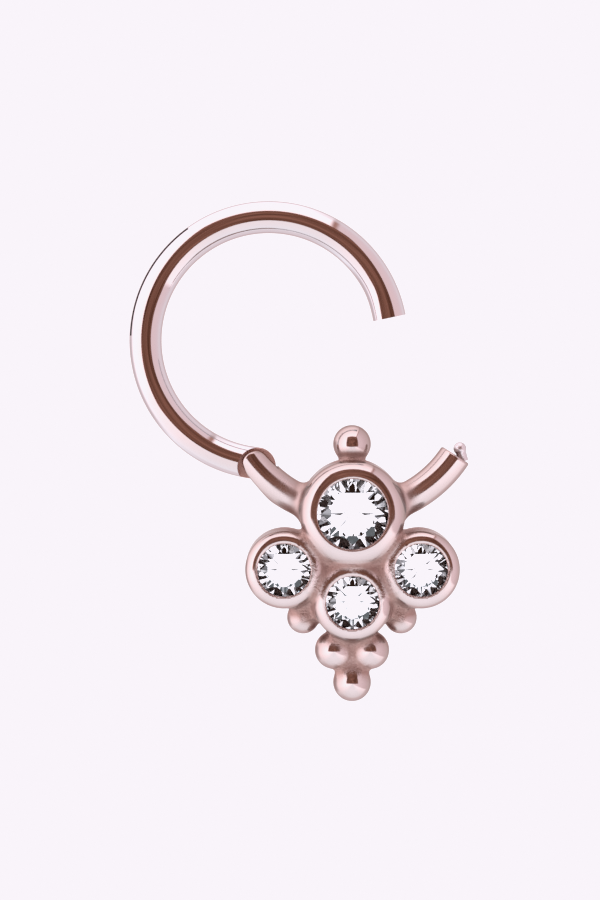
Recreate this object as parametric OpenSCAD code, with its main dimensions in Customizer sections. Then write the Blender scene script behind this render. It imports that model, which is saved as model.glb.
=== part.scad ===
// Hinged clicker ring for a piercing, lying on its back with the gate swung open.
// The ring is drawn closed round the origin and then placed: the gate stays upright,
// and the hoop turns about the hinge. Sizes are in millimetres, angles in degrees.

/* [Wire] */
// Diameter of the round wire, 16 gauge
wire_d = 1.2; // [1.1:0.05:1.3]
// Clear inner diameter of the closed ring
inner_d = 8; // [7.8:0.1:9]

/* [Opening] */
// Angle from the horizontal down to the hinge, about the closed ring's centre
hinge_below = 39.5; // [38:0.5:41]
// Angle from the horizontal down to the latch, about the closed ring's centre
latch_below = 32.6; // [31:0.2:34]
// How far the ring stands open
rest_open = 44.6; // [5:0.2:85]

/* [Hinge and latch] */
// Thickness of the hoop's tongue
tongue_t = 0.4; // [0.34:0.02:0.44]
// Gap on each side of the tongue
tongue_gap = 0.02; // [0.02:0.01:0.04]
// Radius of the tongue's end about the hinge axis
tongue_r = 0.73; // [0.7:0.01:0.78]
// Gap between the hoop's hollowed end and the gate's round knuckle
knuckle_gap = 0.13; // [0.08:0.01:0.15]
// Diameter of the hinge pin
pin_d = 0.36; // [0.3:0.02:0.4]
// Diameter of the latch pin's ball head
ball_d = 0.46; // [0.4:0.02:0.48]
// Diameter of the latch pin's shank
shank_d = 0.3; // [0.24:0.02:0.32]
// Lean of the latch pin from the horizontal
latch_pin_lean = 66; // [60:1:72]

/* [Stones] */
// Girdle diameter of the main stone
main_stone_d = 2.75; // [2.6:0.05:2.85]
// Girdle diameter of the three small stones
small_stone_d = 2.1; // [2:0.05:2.2]

/* [Bezels] */
// Outer diameter of the main bezel
main_rim_d = 3.9; // [3.8:0.02:4.1]
// Outer diameter of each small bezel
small_rim_d = 2.88; // [2.8:0.02:3]
// Height of the main bezel
main_cup_h = 2; // [1.95:0.05:2.2]
// Height of each small bezel
small_cup_h = 1.8; // [1.7:0.05:1.9]
// How far a bezel's lip reaches over its stone
lip_over = 0.07; // [0.06:0.01:0.1]
// Angle between neighbouring small bezels about the main one
fan_angle = 50.5; // [50:0.5:52]

/* [Beads] */
// Diameter of the top bead and of the three at the bottom
big_bead_d = 1.41; // [1.36:0.01:1.44]
// Diameter of the two side beads
small_bead_d = 1.2; // [1.16:0.02:1.26]

/* [Hidden] */
$fn = 96;

// Wire and ring, seen from the front with the centre at the origin
wire_r = wire_d / 2;
ring_r = (inner_d + wire_d) / 2;
// The wire's back stands this far off the flat backs of the bezels
wire_lift = 0.03;
wire_z = wire_r + wire_lift;

// Angles round the ring: the hoop runs from the latch over the top to the hinge
hinge_at = 180 + hinge_below;
latch_at = 360 - latch_below;
hinge_xy = ring_r * [cos(hinge_at), sin(hinge_at)];
latch_xy = ring_r * [cos(latch_at), sin(latch_at)];
// Half of the hair gap between the end faces when closed
latch_half_gap = 0.02;
// The hoop's arc is slid along the latch joint, so the closed ring is a touch longer than round
slide = 0.135;
arc_xy = slide * [sin(latch_below), cos(latch_below)];

// Hinge sizes
knuckle_r = wire_r;
slot_t = tongue_t + 2 * tongue_gap;
slot_r = tongue_r + 0.06;
pin_r = pin_d / 2;
pin_run = 0.02;
pin_fit = 0.01;
// The hinge pin is blind: it stops inside the front cheek
pin_low = 0.05;
pin_top = wire_z + 0.4;
// Two flats on the gate's outer side: slope to the wire and distance from the pin
FLATS = [[0, 0.444], [19.5, 0.403]];
// Reach of the blocks that cut the hinge, larger than anything that they cut
cut = 3;

// Latch: the ball stands clear of the gate's end face and enters a socket in the hoop
ball_r = ball_d / 2;
ball_out = 0.255;
shank_len = 0.8;
socket_gap = 0.05;
ball_xy = latch_xy + ball_out * [cos(latch_pin_lean), sin(latch_pin_lean)];
// The ball moves at right angles to the line from the hinge to the latch
closing_at = atan2(latch_xy[1] - hinge_xy[1], latch_xy[0] - hinge_xy[0]) + 90;

// Brilliant cut, as shares of the stone's diameter
table_share = 0.62;
star_share = 0.79;
crown_share = 0.15;
girdle_share = 0.025;
pavilion_share = 0.43;
lower_share = 0.22;
// How far a table lies under its bezel's crest, and the gap round a stone
table_sink = 0.1;
stone_gap = 0.02;

// Settings: the main one is on the wire, the small ones fan out below it.
// Neighbours run into each other by the bite of their solder.
bite = 0.12;
main_y = -ring_r;
fan_r = (main_rim_d + small_rim_d) / 2 - bite;
function fan(a) = [fan_r * sin(a), main_y - fan_r * cos(a)];
// Columns of a setting: centre, bezel radius, bezel height, stone radius
CENTRE = 0;
RIM = 1;
HEIGHT = 2;
STONE = 3;
MAIN = [[0, main_y], main_rim_d / 2, main_cup_h, main_stone_d / 2];
LEFT = [fan(-fan_angle), small_rim_d / 2, small_cup_h, small_stone_d / 2];
RIGHT = [fan(fan_angle), small_rim_d / 2, small_cup_h, small_stone_d / 2];
LOWER = [fan(0), small_rim_d / 2, small_cup_h, small_stone_d / 2];
SETTINGS = [MAIN, LEFT, RIGHT, LOWER];

// Beads: one on top, one under each side bezel, and a triangle at the bottom
big_r = big_bead_d / 2;
small_r = small_bead_d / 2;
bead_lift = 0.04;
pair_x = 0.68;
pair_y = LOWER[CENTRE][1] - sqrt(pow(LOWER[RIM] + big_r - 0.15, 2) - pair_x * pair_x);
bottom_y = pair_y - sqrt(pow(2 * big_r - 0.03, 2) - pair_x * pair_x);
top_y = main_y + MAIN[RIM] + big_r - 0.13;
side_x = 1.82;
side_y = LOWER[CENTRE][1] - 0.68;
// Columns of a bead: centre, radius
TOP = [[0, top_y], big_r];
PAIR_L = [[-pair_x, pair_y], big_r];
PAIR_R = [[pair_x, pair_y], big_r];
BOTTOM = [[0, bottom_y], big_r];
SIDE_L = [[-side_x, side_y], small_r];
SIDE_R = [[side_x, side_y], small_r];
BEADS = [TOP, PAIR_L, PAIR_R, BOTTOM, SIDE_L, SIDE_R];
// Solder: the neck under the top bead, and the web that closes the gaps between the rest
neck_r = 0.42;
web_low = 0.25;
web_top = 0.95;
// How far the web stands out from the line through two of the bottom beads
web_out = [0.22, -0.12];

// The resting part's corners, which put the origin under the middle of its box
hoop_xy = hinge_xy + turned(arc_xy - hinge_xy, rest_open);
x_low = hoop_xy[0] - ring_r - wire_r;
x_high = (ring_r + wire_r) * cos(latch_below) - latch_half_gap * sin(latch_below);
y_low = bottom_y - big_r;
y_high = hoop_xy[1] + ring_r + wire_r;
middle = [(x_low + x_high) / 2, (y_low + y_high) / 2];

function turned(p, a) = [p[0] * cos(a) - p[1] * sin(a), p[0] * sin(a) + p[1] * cos(a)];

// Places what moves with the gate
module with_gate() {
    translate([-middle[0], -middle[1], 0]) children();
}

// Places the hoop, swung open about the hinge
module with_hoop() {
    with_gate() translate(hinge_xy) rotate(rest_open) translate(-hinge_xy) children();
}

// Local axes at the hinge: X runs along the wire into the gate, Y points inwards
module at_hinge(z = 0) {
    translate([hinge_xy[0], hinge_xy[1], z]) rotate(hinge_at + 90) children();
}

// A length of the ring's wire between two angles
module wire_arc(from, to) {
    rotate(from) rotate_extrude(angle = to - from)
        translate([ring_r, wire_z]) circle(r = wire_r);
}

// Local axes at the latch: X runs outwards across the wire, Y along it into the hoop
module at_latch(z = 0) {
    translate([latch_xy[0], latch_xy[1], z]) rotate(-latch_below) children();
}

// The end of the hoop in front of and behind its tongue, hollowed round the gate's knuckle
module knuckle_room(h) {
    cylinder(r = knuckle_r + knuckle_gap, h = h);
    translate([0, -cut / 2, 0]) cube([cut, cut, h]);
}

// Round wire with a thin tongue at the hinge and a socket in its free end
module hoop() {
    color("rosybrown") with_hoop() difference() {
        translate(arc_xy) wire_arc(-latch_below - 4, hinge_at + 12);
        at_latch(-0.5) translate([-cut / 2, latch_half_gap - cut, 0]) cube(cut);
        at_hinge(wire_z + tongue_t / 2) knuckle_room(wire_d);
        at_hinge(wire_z - tongue_t / 2 - wire_d) knuckle_room(wire_d);
        at_hinge(-0.5) difference() {
            translate([0, -cut / 2, 0]) cube([cut, cut, cut]);
            translate([0, 0, -1]) cylinder(r = tongue_r, h = cut + 2);
        }
        at_hinge(-0.5) cylinder(r = pin_r + pin_run, h = cut);
        socket();
    }
}

// The room that the ball head and its neck need while they enter
module socket() {
    translate([ball_xy[0], ball_xy[1], wire_z]) {
        sphere(r = ball_r + socket_gap);
        rotate(closing_at) rotate([0, -90, 0]) cylinder(r = ball_r + socket_gap, h = 1);
    }
}

// A round cup with a rolled rim, solid inside until its seat is cut
module cup(s) {
    roll = (s[RIM] - s[STONE] + lip_over + 0.03) / 2;
    translate(s[CENTRE]) rotate_extrude() {
        square([s[RIM], s[HEIGHT] - roll]);
        translate([s[RIM] - roll, s[HEIGHT] - roll]) circle(r = roll);
    }
}

// Heights of a stone in its cup: culet, girdle's lower and upper edge, table
function table_z(s) = s[HEIGHT] - table_sink;
function girdle_top(s) = table_z(s) - crown_share * 2 * s[STONE];
function girdle_low(s) = girdle_top(s) - girdle_share * 2 * s[STONE];
function culet_z(s) = girdle_low(s) - pavilion_share * 2 * s[STONE];

// The hollow that the stone sits in, from its culet out through the lip
module seat(s) {
    r = s[STONE] + stone_gap;
    translate(s[CENTRE]) rotate_extrude() polygon([
        [0, culet_z(s) - 2 * stone_gap],
        [r, girdle_low(s) - stone_gap],
        [r, girdle_top(s) + stone_gap],
        [s[STONE] - lip_over, girdle_top(s) + lip_over + stone_gap],
        [s[STONE] - lip_over, s[HEIGHT] + 1],
        [0, s[HEIGHT] + 1],
    ]);
}

// A bead, turned so that its seam faces away from the cluster
module bead(b) {
    out = b[0] - [0, main_y - 2];
    translate([b[0][0], b[0][1], b[1] + bead_lift]) rotate(atan2(out[1], out[0])) sphere(r = b[1]);
}

// The neck of solder under the top bead
module neck() {
    translate([0, main_y + 1.4, big_r + bead_lift]) rotate([-90, 0, 0])
        cylinder(r = neck_r, h = top_y - main_y - 1.4);
}

// The sheet of solder between the cups and the beads
module web() {
    translate([0, 0, web_low]) linear_extrude(web_top - web_low) {
        polygon([MAIN[0], RIGHT[0], SIDE_R[0], LOWER[0], SIDE_L[0], LEFT[0]]);
        polygon([
            LOWER[0],
            PAIR_R[0] + web_out,
            BOTTOM[0] + web_out,
            BOTTOM[0] + [-web_out[0], web_out[1]],
            PAIR_L[0] + [-web_out[0], web_out[1]],
        ]);
    }
}

// Everything that turns the knuckle out of the gate's wire
module knuckle_cuts() {
    at_hinge(-0.5) difference() {
        translate([-cut, -cut / 2, 0]) cube([cut, cut, cut]);
        translate([0, 0, -1]) cylinder(r = knuckle_r, h = cut + 2);
    }
    at_hinge(wire_z - slot_t / 2) cylinder(r = slot_r, h = slot_t);
    for (f = FLATS)
        at_hinge(-0.5) rotate(-90 - f[0]) translate([f[1], -1, 0]) cube([0.5, 2.4, cut]);
    at_hinge(-0.5) cylinder(r = pin_r + pin_fit, h = pin_top + pin_fit + 0.5);
}

// The gate: curved wire, four cups, six beads and their solder, cast as one
module gate() {
    color("rosybrown") with_gate() difference() {
        union() {
            wire_arc(hinge_at - 9, latch_at + 2);
            for (s = SETTINGS) cup(s);
            for (b = BEADS) bead(b);
            neck();
            web();
        }
        knuckle_cuts();
        for (s = SETTINGS) seat(s);
        at_latch(-0.5) translate([-cut / 2, -latch_half_gap, 0]) cube(cut);
        along_latch_pin() cylinder(r = shank_d / 2 + pin_fit, h = shank_len + 2 * pin_fit);
    }
}

// Turns +Z to run from the ball's centre back into the gate
module along_latch_pin() {
    translate([ball_xy[0], ball_xy[1], wire_z]) rotate(latch_pin_lean) rotate([0, -90, 0])
        children();
}

// Plain round pin through the tongue, hidden from the front
module hinge_pin() {
    color("tan") with_gate() at_hinge(pin_low) cylinder(r = pin_r, h = pin_top - pin_low);
}

// Ball-headed pin in the gate's free end
module latch_pin() {
    color("tan") with_gate() along_latch_pin() {
        sphere(r = ball_r);
        cylinder(r = shank_d / 2, h = shank_len);
    }
}

// Points of a brilliant: n of them on a circle of radius r at height z, the first at angle a
function ring(n, r, z, a = 0) =
    [for (i = [0:n - 1]) [r * cos(a + i * 360 / n), r * sin(a + i * 360 / n), z]];

// A round brilliant, turned so that two of its table's edges lie along X. Each kite facet is
// flat because the middle points of the crown and of the pavilion lie in the plane through
// the table's corner or the culet and the girdle.
module stone(s) {
    d = 2 * s[STONE];
    r = s[STONE];
    half = 360 / 16;
    zt = table_z(s);
    zg = girdle_top(s);
    zl = girdle_low(s);
    zc = culet_z(s);
    rt = table_share * r;
    rs = star_share * r;
    rl = lower_share * r;
    zs = zt - (rs * cos(half) - rt) * (zt - zg) / (r - rt);
    zp = zc + rl * cos(half) * (zl - zc) / r;
    // First index of each ring of points: table, star points, girdle's edges, pavilion, culet
    T = 0;
    S = 8;
    G = 16;
    L = 32;
    P = 48;
    C = 56;
    points = concat(ring(8, rt, zt), ring(8, rs, zs, half), ring(16, r, zg),
                    ring(16, r, zl), ring(8, rl, zp, half), [[0, 0, zc]]);
    N = [0:7];
    faces = concat(
        [[for (i = [7:-1:0]) T + i]],
        [for (i = N) [T + i, T + (i + 1) % 8, S + i]],
        [for (i = N) [T + i, S + i, G + 2 * i, S + (i + 7) % 8]],
        [for (i = N) [S + i, G + 2 * i + 1, G + 2 * i]],
        [for (i = N) [S + i, G + (2 * i + 2) % 16, G + 2 * i + 1]],
        [for (i = [0:15]) [G + i, G + (i + 1) % 16, L + (i + 1) % 16, L + i]],
        [for (i = N) [L + 2 * i, L + 2 * i + 1, P + i]],
        [for (i = N) [L + 2 * i + 1, L + (2 * i + 2) % 16, P + i]],
        [for (i = N) [C, P + (i + 7) % 8, L + 2 * i, P + i]]
    );
    color("aliceblue") with_gate() translate(s[CENTRE]) rotate(half)
        polyhedron(points, faces, convexity = 2);
}

hoop();
gate();
hinge_pin();
latch_pin();
stone(MAIN);  // main_stone
stone(LEFT);  // left_stone
stone(RIGHT);  // right_stone
stone(LOWER);  // lower_stone
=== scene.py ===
"""Looks of the hinged clicker ring: mirror-polished rose metal, clear brilliants, pale floor.

Shapes are worked out in millimetres on the closed ring, whose centre is the zero point, and then
placed: the gate is only shifted, and the hoop is also turned open about the hinge.
"""

import math

import bpy
import numpy as np
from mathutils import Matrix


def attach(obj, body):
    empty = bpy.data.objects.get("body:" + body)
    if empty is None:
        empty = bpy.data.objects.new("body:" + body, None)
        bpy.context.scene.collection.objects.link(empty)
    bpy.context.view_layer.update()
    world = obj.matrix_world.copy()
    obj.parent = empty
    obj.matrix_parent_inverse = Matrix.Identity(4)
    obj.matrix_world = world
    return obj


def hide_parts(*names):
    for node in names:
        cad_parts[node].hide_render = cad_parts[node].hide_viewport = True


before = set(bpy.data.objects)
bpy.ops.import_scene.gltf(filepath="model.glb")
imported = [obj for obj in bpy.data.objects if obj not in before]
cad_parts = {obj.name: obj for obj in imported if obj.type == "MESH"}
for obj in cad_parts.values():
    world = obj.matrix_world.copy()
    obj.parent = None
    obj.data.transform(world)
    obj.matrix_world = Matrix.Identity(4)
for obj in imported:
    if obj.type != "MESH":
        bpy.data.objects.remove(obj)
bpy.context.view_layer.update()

# Sizes, in mm and radians
MM = 0.001
WIRE_R = 0.6
RING_R = 4.6
WIRE_Z = 0.63
HINGE_AT = math.radians(219.5)
LATCH_AT = math.radians(-32.6)
REST_OPEN = math.radians(44.6)
MIDDLE = np.array([-1.967361, -2.334822])
SLIDE = 0.135
LATCH_HALF_GAP = 0.02
TONGUE_T = 0.4
TONGUE_R = 0.71
# The hoop's cut end: half width of its inner side, length that is pressed, squareness
PRESSED_R = 0.635
PRESSED_LEN = 1.5
PRESS_POWER = 2.6
KNUCKLE_R = 0.6
SLOT_HALF = 0.22
SLOT_R = 0.76
# Two flats on the knuckle's outer side: slope to the wire and distance from the pin
FLATS = ((0.0, 0.46), (math.radians(19.5), 0.46))
FLAT_LEN = 1.4
PIN_R = 0.18
PIN_FIT = 0.01
PIN_LOW = 0.05
PIN_TOP = WIRE_Z + 0.4
BALL_R = 0.238
SHANK_R = 0.19
SHANK_LEN = 0.48
SHANK_LEAN = math.radians(105)
SOCKET_R = BALL_R + 0.05
BALL_OUT = 0.255
PIN_LEAN = math.radians(66)
BALL_ASIDE = np.array([0.05, -0.01])
# Where the gate's wire stops, and the parts of the gate that belong to the hinge and the latch
GATE_TOP_Y = -1.6
HINGE_SIDE_X = -2.4
LATCH_SIDE_X = 2.5

# Columns of a setting: centre x, centre y, bezel radius, bezel height, stone radius
FAN_R = 3.27
FAN = math.radians(50.5)
MAIN = (0.0, -RING_R, 1.95, 2.0, 1.375)
LEFT = (-FAN_R * math.sin(FAN), -RING_R - FAN_R * math.cos(FAN), 1.44, 1.8, 1.05)
RIGHT = (FAN_R * math.sin(FAN), -RING_R - FAN_R * math.cos(FAN), 1.44, 1.8, 1.05)
LOWER = (0.0, -RING_R - FAN_R, 1.44, 1.8, 1.05)
SETTINGS = {"main_stone": MAIN, "left_stone": LEFT, "right_stone": RIGHT, "lower_stone": LOWER}
LIP_OVER = 0.07
# A rim's crest lies this far outside the stone's edge, more at the top and less at the bottom of
# each bezel; from there it rolls down to the wall
CREST_OUT = 0.01
CREST_LEAN = 0.045
TABLE_SINK = 0.1
# Crown and girdle height as shares of the stone's width
CROWN = 0.12
GIRDLE = 0.025
# A seat's room beside the stone, along its pavilion and above its girdle
SEAT_SIDE = 0.02
SEAT_CONE = 0.03
SEAT_TOP = 0.055

# Columns of a bead: centre x, centre y, radius; each stands 0.04 clear of the floor
BEADS = [(0.0, -2.075, 0.705), (-0.68, -9.7455, 0.705), (0.68, -9.7455, 0.705),
         (0.0, -10.9464, 0.705), (-1.82, -8.55, 0.6), (1.82, -8.55, 0.6)]
BEAD_LIFT = 0.04
# The neck under the top bead: radius, height, middle and half length along Y
NECK_R = 0.34
NECK_Z = 0.745
NECK_Y = -2.65
NECK_HALF = 0.6
WEB_LOW = 0.25
# The solder between the cups, and between the lower cup and the bottom beads: outline, top, fillet
WEBS = [([MAIN[:2], RIGHT[:2], LOWER[:2], LEFT[:2]], 1.45, 0.45),
        ([LOWER[:2], RIGHT[:2], BEADS[5][:2]], 1.2, 0.45),
        ([LOWER[:2], LEFT[:2], BEADS[4][:2]], 1.2, 0.45),
        ([LOWER[:2], BEADS[2][:2], BEADS[3][:2], BEADS[1][:2]], 1.15, 0.5),
        ([LOWER[:2], (0.9, -9.8655), (0.22, -11.0664), (-0.22, -11.0664), (-0.9, -9.8655)], 0.95, 0.3)]

# How far fillets and rounded edges reach
ARM_FILLET = 0.36
CUP_FILLET = 0.3
NECK_FILLET = 0.2
BEAD_FILLET = 0.22
KNUCKLE_ROUND = 0.1
FLAT_ROUND = 0.06
LATCH_ROUND = 0.08
CUT_ROUND = 0.03
HOLE_ROUND = 0.02
# A fillet this deep over the plain pieces is all solder
SOLDER_DEPTH = 0.05

HINGE = RING_R * np.array([math.cos(HINGE_AT), math.sin(HINGE_AT)])
LATCH = RING_R * np.array([math.cos(LATCH_AT), math.sin(LATCH_AT)])
HOOP_MID = SLIDE * np.array([-math.sin(LATCH_AT), math.cos(LATCH_AT)])
BALL = LATCH + BALL_OUT * np.array([math.cos(PIN_LEAN), math.sin(PIN_LEAN)]) + BALL_ASIDE


# Placing and mesh making
def with_gate(points):
    """Shifts closed-ring points so that the resting part is centred on the origin."""
    return points - np.append(MIDDLE, 0.0)


def with_hoop(points):
    """Turns closed-ring points about the hinge by the resting opening, then shifts them."""
    c, s = math.cos(REST_OPEN), math.sin(REST_OPEN)
    flat = points[:, :2] - HINGE
    turned = np.stack([flat[:, 0] * c - flat[:, 1] * s, flat[:, 0] * s + flat[:, 1] * c], 1) + HINGE
    return with_gate(np.column_stack([turned, points[:, 2]]))


def make_piece(name, points, faces, material, smooth=True):
    """A mesh object from points in mm and faces as rows of indices, with its place in its mesh."""
    mesh = bpy.data.meshes.new(name)
    mesh.from_pydata((points * MM).tolist(), [], faces.tolist() if hasattr(faces, "tolist") else faces)
    mesh.polygons.foreach_set("use_smooth", np.full(len(mesh.polygons), smooth))
    mesh.update()
    mesh.materials.append(material)
    piece = bpy.data.objects.new(name, mesh)
    bpy.context.scene.collection.objects.link(piece)
    return piece


def grid_quads(rows, columns):
    """Quads between the rows of a grid whose columns close round on themselves."""
    i, j = np.meshgrid(np.arange(rows - 1), np.arange(columns), indexing="ij")
    k = (j + 1) % columns
    return np.stack([i * columns + j, i * columns + k, (i + 1) * columns + k, (i + 1) * columns + j],
                    -1).reshape(-1, 4)


def welded(points, faces, reach=1e-5):
    """Joins points that lie in the same place and drops faces that shrink to a line."""
    keys = np.round(points / reach).astype(np.int64)
    _, first, back = np.unique(keys, axis=0, return_index=True, return_inverse=True)
    back = back.reshape(-1)
    kept = []
    for row in back[faces].tolist():
        corners = [p for n, p in enumerate(row) if p != row[n - 1]]
        if len(corners) > 2:
            kept.append(corners)
    return points[first], kept


def swept_grid(rows):
    """Stacks rows of points, each running once round the profile, into one welded closed skin."""
    points = np.concatenate(rows)
    return welded(points, grid_quads(len(rows), len(rows[0])))


def lathe_rows(radii, heights, count):
    """Rows of a turned shape: row k is a circle of radius radii[k] at height heights[k]."""
    a = np.linspace(0, 2 * math.pi, count, endpoint=False)
    return [np.stack([r * np.cos(a), r * np.sin(a), np.full(count, float(h))], 1)
            for r, h in zip(radii, heights)]


def add_modifier(piece, kind, **values):
    """A modifier with its settings."""
    made = piece.modifiers.new(kind.title(), kind)
    for key, value in values.items():
        setattr(made, key, value)
    return made


# The hoop
def around_wire(cap=36, side=10):
    """Angles round the wire, zero on top, with lines where the tongue's faces cut it."""
    edge = math.acos(TONGUE_T / 2 / WIRE_R)
    marks = [-edge, edge, math.pi - edge, math.pi + edge, 2 * math.pi - edge]
    parts = [np.linspace(a, b, n, endpoint=False)
             for a, b, n in zip(marks, marks[1:], (cap, side, cap, side))]
    return np.concatenate(parts)


def hoop_points(turn, offset, height):
    """A point at angle turn about the hoop's middle, offset outwards from its wire's line."""
    r = RING_R + offset
    return np.stack([HOOP_MID[0] + r * np.cos(turn), HOOP_MID[1] + r * np.sin(turn),
                     WIRE_Z + height], 1)


def pressed_section(side, up, share):
    """Offset and height round the wire, whose inner side the cutting pressed a little flat.

    Where share is 1 the inner half is a squared ellipse: its half width and half height, each
    with a fraction of them to the power PRESS_POWER, add up to one. Where share is 0 it's round.
    """
    inward = np.clip(-side, 0, 1)
    total = (inward / PRESSED_R) ** PRESS_POWER + (np.abs(up) / WIRE_R) ** PRESS_POWER
    reach = np.where(inward > 0, total ** (-1 / PRESS_POWER), WIRE_R)
    reach = WIRE_R + (reach - WIRE_R) * share
    return reach * side, reach * up


def hoop_skin(socket_rows=9, arc_rows=401, tongue_rows=15):
    """The wire as one grid: its socket, end face, arc, hollowed end and tongue.

    Columns run round the wire. Rows start at the socket's deepest point, come out through its
    mouth, cross the flat end face and follow the arc. The arc stops where the hinge cylinder
    cuts each column. From there the rows drop to the tongue's faces, follow them across the
    hinge to the cylinder's far side and close at mid height.
    """
    w = around_wire()
    side, up = np.sin(w), np.cos(w)
    offset, height = WIRE_R * side, WIRE_R * up
    r = RING_R + offset
    end_offset, end_height = pressed_section(side, up, 1.0)

    # flat end face: the plane through the latch, a hair clear of it, square to the wire
    normal = np.array([-math.sin(LATCH_AT), math.cos(LATCH_AT)])
    outward = np.array([math.cos(LATCH_AT), math.sin(LATCH_AT)])
    facing = math.atan2(normal[1], normal[0])
    gap = LATCH_HALF_GAP + (LATCH - HOOP_MID) @ normal

    def start_turn(radius):
        """Angle about the hoop's middle where a circle of this radius meets the end face."""
        return facing - np.arccos(gap / radius)

    # socket: a round hole along the way that the ball comes, with a round bottom
    line = LATCH - HINGE
    closing = math.atan2(line[1], line[0]) + math.pi / 2
    way = -np.array([math.cos(closing), math.sin(closing)])
    across = np.array([-way[1], way[0]])
    if across @ outward < 0:
        across = -across

    def socket_row(radius, along):
        """A circle about the ball's way, in shares of the socket's radius, moved along it."""
        flat = BALL + SOCKET_R * radius * side[:, None] * across
        flat = flat + np.asarray(along)[..., None] * way
        return np.column_stack([flat, WIRE_Z + SOCKET_R * radius * up])

    rows = []
    for a in np.linspace(0, math.pi / 2, socket_rows)[:-1]:
        rows.append(socket_row(math.sin(a), np.full(len(w), -SOCKET_R * math.cos(a))))
    rows.append(socket_row(1.0, np.zeros(len(w))))
    face_at = LATCH_HALF_GAP + LATCH @ normal
    reach = (face_at - (BALL + SOCKET_R * side[:, None] * across) @ normal) / (way @ normal)
    rows.append(socket_row(1.0, reach))
    mouth = rows[-1]
    first = start_turn(RING_R + end_offset)
    rim = hoop_points(first, end_offset, end_height)
    for t in (0.25, 0.5, 0.75):
        rows.append(mouth + (rim - mouth) * t)

    # arc, and then the hinge end
    pin = HINGE - HOOP_MID
    pin_r, pin_turn = math.hypot(*pin), math.atan2(pin[1], pin[0]) % (2 * math.pi)
    half = np.arccos(np.clip((r * r + pin_r ** 2 - TONGUE_R ** 2) / (2 * r * pin_r), -1, 1))
    near, far = pin_turn - half, pin_turn + half
    for t in np.linspace(0, 1, arc_rows):
        along = np.clip(t * RING_R * np.abs(near - first) / PRESSED_LEN, 0, 1)
        share = 1 - along * along * (3 - 2 * along)
        rows.append(hoop_points(first + (near - first) * t, *pressed_section(side, up, share)))
    low = np.clip(height, -TONGUE_T / 2, TONGUE_T / 2)
    rows.append(hoop_points(near, offset, (height + low) / 2))
    for t in np.linspace(0, 1, tongue_rows):
        rows.append(hoop_points(near + (far - near) * t, offset, low))
    rows.append(hoop_points(far, offset, low / 2))
    rows.append(hoop_points(far, offset, low * 0))
    points, faces = swept_grid(rows)
    return with_hoop(points), faces


# The gate, a casting
def soft_union(a, b, k):
    """The smaller of two distances, with a fillet of about k where they are alike."""
    h = np.maximum(k - np.abs(a - b), 0) / k
    return np.minimum(a, b) - h * h * k / 4


def soft_cut(a, b, k):
    """What is left of a when b is taken away, with edges rounded by about k."""
    return -soft_union(-a, b, k)


def box_distance(x, y, half_x, half_y):
    """Distance to a flat rectangle centred on the zero point."""
    qx, qy = np.abs(x) - half_x, np.abs(y) - half_y
    return np.hypot(np.maximum(qx, 0), np.maximum(qy, 0)) + np.minimum(np.maximum(qx, qy), 0)


def outline_distance(x, y, corners):
    """Distance to a flat outline of straight edges, less than zero inside it."""
    near = np.full(len(x), 1e9)
    inside = np.zeros(len(x), bool)
    for (ax, ay), (bx, by) in zip(corners, corners[1:] + corners[:1]):
        ex, ey = bx - ax, by - ay
        t = np.clip(((x - ax) * ex + (y - ay) * ey) / (ex * ex + ey * ey), 0, 1)
        near = np.minimum(near, np.hypot(x - ax - t * ex, y - ay - t * ey))
        spans = (ay > y) != (by > y)
        inside ^= spans & (x < ax + (y - ay) * ex / (ey if ey else 1e-9))
    return np.where(inside, -near, near)


def cup_distance(p, s, foot=0.04, inner=0.5):
    """A turned cup: a drum with softened foot and a ring of round section along its top.

    The ring's thickness changes with the side; within the radius inner the change is held.
    """
    r = np.hypot(p[:, 0] - s[0], p[:, 1] - s[1])
    roll = s[2] - s[4] - CREST_OUT - CREST_LEAN * (p[:, 1] - s[1]) / np.maximum(r, inner)
    top = s[3] - roll
    drum = box_distance(r, p[:, 2] - top / 2, s[2] - foot, top / 2 - foot) - foot
    return np.minimum(drum, np.hypot(r - (s[2] - roll), p[:, 2] - top) - roll)


def seat_distance(p, s):
    """The hollow for a stone: a straight bore through the lip, and a wider cone below it."""
    r = np.hypot(p[:, 0] - s[0], p[:, 1] - s[1])
    girdle = s[3] - TABLE_SINK - 2 * CROWN * s[4]
    bore = np.maximum(r - (s[4] - LIP_OVER), girdle - p[:, 2])
    cone = (r - s[4] - SEAT_CONE - (p[:, 2] - girdle + 2 * GIRDLE * s[4])) / math.sqrt(2)
    pocket = np.maximum.reduce([cone, r - s[4] - SEAT_SIDE, p[:, 2] - girdle - SEAT_TOP])
    return np.minimum(bore, pocket)


def at_hinge(p):
    """Coordinates about the hinge pin: along the wire into the gate, and inwards."""
    c, s = -math.sin(HINGE_AT), math.cos(HINGE_AT)
    x, y = p[:, 0] - HINGE[0], p[:, 1] - HINGE[1]
    return x * c + y * s, -x * s + y * c


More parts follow.
